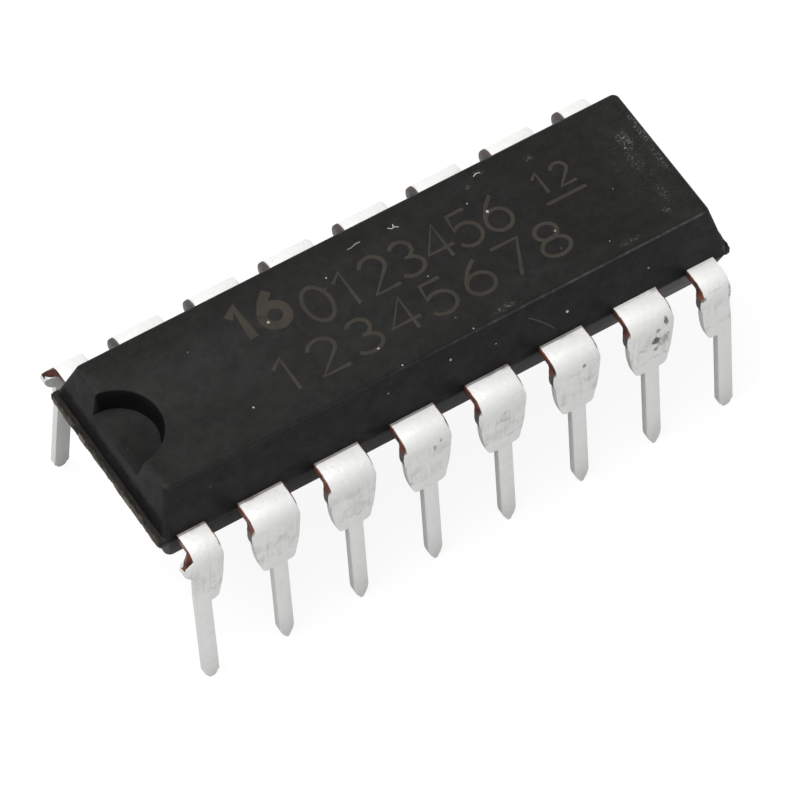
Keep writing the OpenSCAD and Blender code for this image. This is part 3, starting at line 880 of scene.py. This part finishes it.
def make_shear_wedges():
    """The sheared side of the first leads' bend on both rows, widening down to the dam bar's stub."""
    mesh = bmesh.new()
    for row in (-1, 1):
        rows = []
        for step in range(WEDGE_STEPS + 1):
            t = step / WEDGE_STEPS
            turn = math.radians(WEDGE_START + WEDGE_TURN * t)
            wide = WEDGE_WIDTH * t ** 1.1 + WEDGE_EDGE
            ring = []
            for depth in WEDGE_DEPTHS:
                radius = BEND_RADIUS - depth
                y = LEAD_REACH - BEND_RADIUS + radius * math.sin(turn)
                z = FRAME_TOP_Z - BEND_RADIUS + radius * math.cos(turn)
                ring += [(FIRST_SIDE + WEDGE_OVERLAP, y, z), (FIRST_SIDE - wide, y, z)]
            ring = [ring[0], ring[1], ring[3], ring[2]]
            rows.append([mesh.verts.new((x * MM, row * y * MM, z * MM)) for x, y, z in ring])
        for near, far in zip(rows, rows[1:]):
            for i in range(len(near)):
                j = (i + 1) % len(near)
                mesh.faces.new((near[i], near[j], far[j], far[i]))
        mesh.faces.new(rows[0][::-1])
        mesh.faces.new(rows[-1])
    bmesh.ops.recalc_face_normals(mesh, faces=mesh.faces)
    return piece_from(mesh, "shear_wedges", 40)


def arc_points(centre, reach, start, stop, steps):
    """Points round part of an ellipse, with angles in degrees."""
    turns = [math.radians(start + (stop - start) * i / steps) for i in range(steps + 1)]
    return [(centre[0] + reach[0] * math.cos(t), centre[1] + reach[1] * math.sin(t)) for t in turns]


# Single-stroke numerals in a box 0.64 wide and 1 high
NUMERALS = {
    "0": [arc_points((0.32, 0.5), (0.32, 0.5), 90, 450, 24)],
    "1": [[(0.1, 0.78), (0.36, 1.0), (0.36, 0.0)]],
    "2": [arc_points((0.31, 0.72), (0.3, 0.28), 165, -35, 12) + [(0.0, 0.0), (0.64, 0.0)]],
    "3": [arc_points((0.3, 0.75), (0.26, 0.25), 150, -90, 11)
          + arc_points((0.3, 0.26), (0.32, 0.26), 85, -150, 12)],
    "4": [[(0.48, 0.0), (0.48, 1.0), (0.0, 0.3), (0.66, 0.3)]],
    "5": [[(0.56, 1.0), (0.1, 1.0), (0.05, 0.55)]
          + arc_points((0.29, 0.33), (0.33, 0.33), 125, -150, 13)],
    "6": [[(0.48, 1.0), (0.24, 0.78), (0.07, 0.52)]
          + arc_points((0.32, 0.31), (0.31, 0.31), 165, 525, 22)],
    "7": [[(0.0, 1.0), (0.64, 1.0), (0.24, 0.0)]],
    "8": [arc_points((0.32, 0.76), (0.25, 0.24), 90, 450, 20),
          arc_points((0.32, 0.27), (0.32, 0.27), 90, 450, 22)],
}
# Half width of a stroke, its height over the face, and a numeral's width over its height
STROKE = 0.062
MARK_HEIGHT = 0.004
NUMERAL_SLIM = 0.78
# Ends of a stroke this close make it a closed ring
CLOSING_GAP = 1e-6


def stroke_lines(text, left, baseline, height, pitch, stretch=1.3):
    """The strokes of a row of numerals, placed on the top face in millimetres."""
    lines = []
    for place, numeral in enumerate(text):
        for points in NUMERALS[numeral]:
            x0 = left + place * pitch
            lines.append([(x0 + x * height * stretch * NUMERAL_SLIM, baseline + y * height)
                          for x, y in points])
    return lines


def make_marks(name, lines, stroke):
    """Flat strokes with round turns, all as one thin piece lying on the top face."""
    data = bpy.data.curves.new(name, "CURVE")
    data.dimensions = "3D"
    data.bevel_depth = stroke * MM
    data.bevel_resolution = 2
    data.use_fill_caps = True
    for points in lines:
        closed = math.dist(points[0], points[-1]) < CLOSING_GAP
        if closed:
            points = points[:-1]
        spline = data.splines.new("POLY")
        spline.points.add(len(points) - 1)
        for point, (x, y) in zip(spline.points, points):
            point.co = (x * MM, y * MM, 0, 1)
        spline.use_cyclic_u = closed
    piece = bpy.data.objects.new(name, data)
    bpy.context.scene.collection.objects.link(piece)
    make_active(piece)
    bpy.ops.object.convert(target="MESH")
    piece = bpy.context.active_object
    piece.data.transform(Matrix.Diagonal((1, 1, MARK_HEIGHT / stroke, 1)))
    piece.data.transform(Matrix.Translation((0, 0, TOP_Z * MM)))
    shade_smooth(piece, 50)
    return piece


# Dust on the moulding: place on the top face and radius, in millimetres
DUST_SPECKS = [
    (-3.71, 0.86, 0.06), (-1.53, -1.56, 0.045), (-1.26, -2.4, 0.03), (4.97, -0.77, 0.045),
    (3.68, 0.83, 0.045), (3.33, 1.38, 0.03), (-1.5, 1.31, 0.03), (1.01, -0.18, 0.03),
    (1.14, -2.4, 0.03), (-5.6, -1.4, 0.03), (7.2, -0.4, 0.022), (6.1, -1.9, 0.022),
    (-6.2, 1.2, 0.022), (8.3, 0.63, 0.025),
]
# Dust on the near side: place along it, height and radius
SIDE_SPECKS = [
    (4.1, 6.55, 0.045), (6.9, 6.6, 0.035), (-1.9, 6.9, 0.03), (1.7, 6.7, 0.025), (0.2, 6.95, 0.05),
]
# Short pale fibres on the top face
FIBRES = [
    [(-0.47, 1.83), (-0.33, 1.83), (-0.15, 1.88), (0.0, 1.87)],
    [(0.92, 1.86), (1.02, 1.78), (1.12, 1.8), (1.22, 1.73)],
    [(1.08, 1.8), (1.12, 1.9)],
    [(4.0, 2.1), (4.12, 2.15), (4.24, 2.13)],
]
FIBRE_STROKE = 0.014
# The dust's height over its width, its lumps as a share of its radius and their number to a metre
DUST_FLATTEN = 0.6
DUST_LUMPS = 0.25
DUST_LUMP_SCALE = 9000
DUST_SEED = 7


def make_dust():
    """Small flattened lumps of dust, resting on the top face and the near side."""
    mesh = bmesh.new()
    rng = random.Random(DUST_SEED)
    noise.seed_set(DUST_SEED)
    side_lean = math.tan(SIDE_DRAFT)
    places = [(x, y, TOP_Z, r) for x, y, r in DUST_SPECKS]
    places += [(x, -HALF_WIDTH + (z - PARTING_Z) * side_lean, z, r) for x, z, r in SIDE_SPECKS]
    for x, y, z, radius in places:
        shape = Matrix.Diagonal((rng.uniform(0.8, 1.3), rng.uniform(0.8, 1.2), DUST_FLATTEN, 1))
        turn = Matrix.Rotation(rng.uniform(0, math.pi), 4, "Z")
        place = Matrix.Translation((x * MM, y * MM, z * MM))
        made = bmesh.ops.create_icosphere(mesh, subdivisions=2, radius=radius * MM,
                                          matrix=place @ turn @ shape)
        for vertex in made["verts"]:
            lump = Vector(noise.noise_vector(vertex.co * DUST_LUMP_SCALE))
            vertex.co += lump * radius * DUST_LUMPS * MM
    return piece_from(mesh, "dust", 60)


DUST_DARK = (0.14, 0.138, 0.13, 1)
DUST_PALE = (0.55, 0.54, 0.5, 1)


def dust_material():
    """Pale dust and fibres."""
    material, tree, shader, at = new_material("Dust")
    grain = use(tree, GRAIN, Position=at, Grain_per_mm=30.0, Mottle_per_mm=6.0)
    each = fade(tree, noise_of(tree, at, 0.9, 1.0), 0.35, 0.65)
    colour = blend_colour(tree, each, DUST_DARK, DUST_PALE)
    colour = blend_colour(tree, times(tree, grain["Mottle"], 0.4), colour, DUST)
    tree.links.new(colour, shader.inputs["Base Color"])
    tree.links.new(times_plus(tree, grain["Height"], 0.2, 0.75), shader.inputs["Roughness"])
    return material


# The colours of the sealed pieces, each with its duller tone
ADHESIVE = (0.5, 0.5, 0.52, 1)
ADHESIVE_DULL = (0.36, 0.36, 0.38, 1)
SILICON = (0.05, 0.06, 0.09, 1)
SILICON_DULL = (0.09, 0.08, 0.13, 1)
GOLD = (0.95, 0.68, 0.26, 1)
GOLD_DULL = (0.85, 0.58, 0.2, 1)


def marking_rows():
    """The marking's rows of plain numbers: name of the piece, strokes and half width of a stroke.

    Each row is its text, left end, baseline, height, pitch and, where it is wider, its stretch.
    """
    small = stroke_lines("12", 5.27, 0.46, 0.8, 0.72) + [[(5.27, 0.13), (6.62, 0.13)]]
    return [
        ("mark_upper_row", stroke_lines("0123456", -2.58, 0.04, 1.26, 1.0), STROKE),
        ("mark_small_number", small, STROKE * 0.9),
        ("mark_lower_row", stroke_lines("12345678", -4.62, -1.56, 1.2, 1.27, 1.5), STROKE),
        ("mark_lead_count", stroke_lines("16", -4.75, 0.62, 1.2, 0.95), STROKE * 2.4),
    ]


def make_part():
    """The dressed part: moulding, leads, flash, marking, dust and the sealed pieces."""
    compound = moulding_material()
    tinned = lead_material()
    torn = flash_material()
    marked = marking_material()

    moulding = softened_copy("body", "moulding", MOULDING_EASE)
    wear_material(moulding, compound)
    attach(moulding, "root")
    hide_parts("body")

    for number in range(1, LEAD_COUNT + 1):
        node = f"lead_{number}"
        lead = softened_copy(node, f"tinned_lead_{number}", LEAD_EASE)
        wear_material(lead, tinned)
        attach(lead, "root")
        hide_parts(node)

    for side, name in ((-1, "flash_notch_end"), (1, "flash_plain_end")):
        flash = make_flash(side, name)
        wear_material(flash, torn)
        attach(flash, "root")

    wedges = make_shear_wedges()
    wear_material(wedges, shear_material())
    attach(wedges, "root")

    for name, lines, stroke in marking_rows():
        mark = make_marks(name, lines, stroke)
        wear_material(mark, marked)
        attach(mark, "root")

    pale = dust_material()
    for piece in (make_dust(), make_marks("fibres", FIBRES, FIBRE_STROKE)):
        wear_material(piece, pale)
        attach(piece, "root")

    adhesive = plain_solid("Silver adhesive", ADHESIVE, ADHESIVE_DULL, 0.5)
    silicon = plain_solid("Silicon", SILICON, SILICON_DULL, 0.12)
    gold = plain_metal("Bond gold", GOLD, GOLD_DULL, 0.18)
    wear_material(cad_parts["die_pad"], tie_bar_material())
    wear_material(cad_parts["die_attach"], adhesive)
    wear_material(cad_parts["silicon_die"], silicon)
    for number in range(1, LEAD_COUNT + 1):
        wear_material(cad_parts[f"bond_wire_{number}"], gold)


# Studio

# The camera's aim and distance in millimetres, its angles and its lens
CAMERA_AIM = Vector((-1.31, -2.38, PARTING_Z))
CAMERA_DISTANCE = 194.5
CAMERA_AZIMUTH = math.radians(33.0)
CAMERA_ELEVATION = math.radians(56.03)
CAMERA_ROLL = math.radians(0.9)
CAMERA_LENS = 306.2
SENSOR_WIDTH = 36

# The soft box, in metres, and how bright its face looks
LIGHT_PLACE = (-0.15, 0.07, 0.42)
LIGHT_AIM = (0, 0, 0.005)
LIGHT_SIZE = 0.34
LIGHT_RADIANCE = 4.7

# The floor's side in metres, its colour, and how much of it glows to the camera and in reflections
FLOOR_SIZE = 6
FLOOR_COLOUR = (0.79, 0.79, 0.785, 1)
FLOOR_GLOW = 1.1
FLOOR_CAMERA_SHARE = 0.82
FLOOR_GLOSSY_SHARE = 0.1

# The surroundings as the object sees them
SKY_COLOUR = (0.98, 0.985, 1.0, 1)
SKY_STRENGTH = 0.42
WHITE = (1, 1, 1, 1)


def make_camera():
    """The photograph's view: a long lens, steep, from the notch end of the near side."""
    along = Vector((math.sin(CAMERA_AZIMUTH) * math.cos(CAMERA_ELEVATION),
                    math.cos(CAMERA_AZIMUTH) * math.cos(CAMERA_ELEVATION),
                    -math.sin(CAMERA_ELEVATION)))
    data = bpy.data.cameras.new("Photograph")
    data.lens = CAMERA_LENS
    data.sensor_width = SENSOR_WIDTH
    data.clip_start = 0.01
    data.clip_end = 20
    camera = bpy.data.objects.new("Photograph", data)
    bpy.context.scene.collection.objects.link(camera)
    turn = along.to_track_quat("-Z", "Y").to_matrix() @ Matrix.Rotation(CAMERA_ROLL, 3, "Z")
    place = (CAMERA_AIM - along * CAMERA_DISTANCE) * MM
    camera.matrix_world = Matrix.Translation(place) @ turn.to_4x4()
    bpy.context.scene.camera = camera


def make_soft_light(name, place, aim, size, radiance):
    """A square soft box; its power is worked out from how bright its face should look."""
    data = bpy.data.lights.new(name, "AREA")
    data.shape = "SQUARE"
    data.size = size
    data.energy = radiance * math.pi * size * size
    light = bpy.data.objects.new(name, data)
    bpy.context.scene.collection.objects.link(light)
    direction = Vector(aim) - Vector(place)
    light.location = place
    light.rotation_euler = direction.to_track_quat("-Z", "Y").to_euler()


def make_floor():
    """A pale floor that keeps the soft shadow and reads as near white to the camera."""
    bpy.ops.object.select_all(action="DESELECT")
    bpy.ops.mesh.primitive_plane_add(size=FLOOR_SIZE)
    floor = bpy.context.active_object
    floor.name = "floor"
    material = bpy.data.materials.new("Pale floor")
    material.use_nodes = True
    tree = material.node_tree
    tree.nodes.clear()
    diffuse = add(tree, "ShaderNodeBsdfDiffuse", {"Color": FLOOR_COLOUR})
    glow = add(tree, "ShaderNodeEmission", {"Color": WHITE, "Strength": FLOOR_GLOW})
    rays = add(tree, "ShaderNodeLightPath").outputs
    share = plus(tree, times(tree, rays["Is Camera Ray"], FLOOR_CAMERA_SHARE),
                 times(tree, rays["Is Glossy Ray"], FLOOR_GLOSSY_SHARE))
    mixed = add(tree, "ShaderNodeMixShader", {0: share, 1: diffuse.outputs[0], 2: glow.outputs[0]})
    out = add(tree, "ShaderNodeOutputMaterial")
    tree.links.new(mixed.outputs[0], out.inputs["Surface"])
    wear_material(floor, material)


def make_world():
    """Even studio surroundings, white to the camera and softer to everything else."""
    world = bpy.data.worlds.new("Studio")
    bpy.context.scene.world = world
    world.use_nodes = True
    tree = world.node_tree
    tree.nodes.clear()
    soft = add(tree, "ShaderNodeBackground", {"Color": SKY_COLOUR, "Strength": SKY_STRENGTH})
    white = add(tree, "ShaderNodeBackground", {"Color": WHITE, "Strength": 1.0})
    rays = add(tree, "ShaderNodeLightPath").outputs
    mixed = add(tree, "ShaderNodeMixShader",
                {0: rays["Is Camera Ray"], 1: soft.outputs[0], 2: white.outputs[0]})
    out = add(tree, "ShaderNodeOutputWorld")
    tree.links.new(mixed.outputs[0], out.inputs["Surface"])


def make_studio():
    """Camera, floor, surroundings and the one soft light."""
    make_camera()
    make_floor()
    make_world()
    make_soft_light("Overhead soft box", LIGHT_PLACE, LIGHT_AIM, LIGHT_SIZE, LIGHT_RADIANCE)
    bpy.context.scene.view_settings.view_transform = "Standard"


make_studio()
make_part()
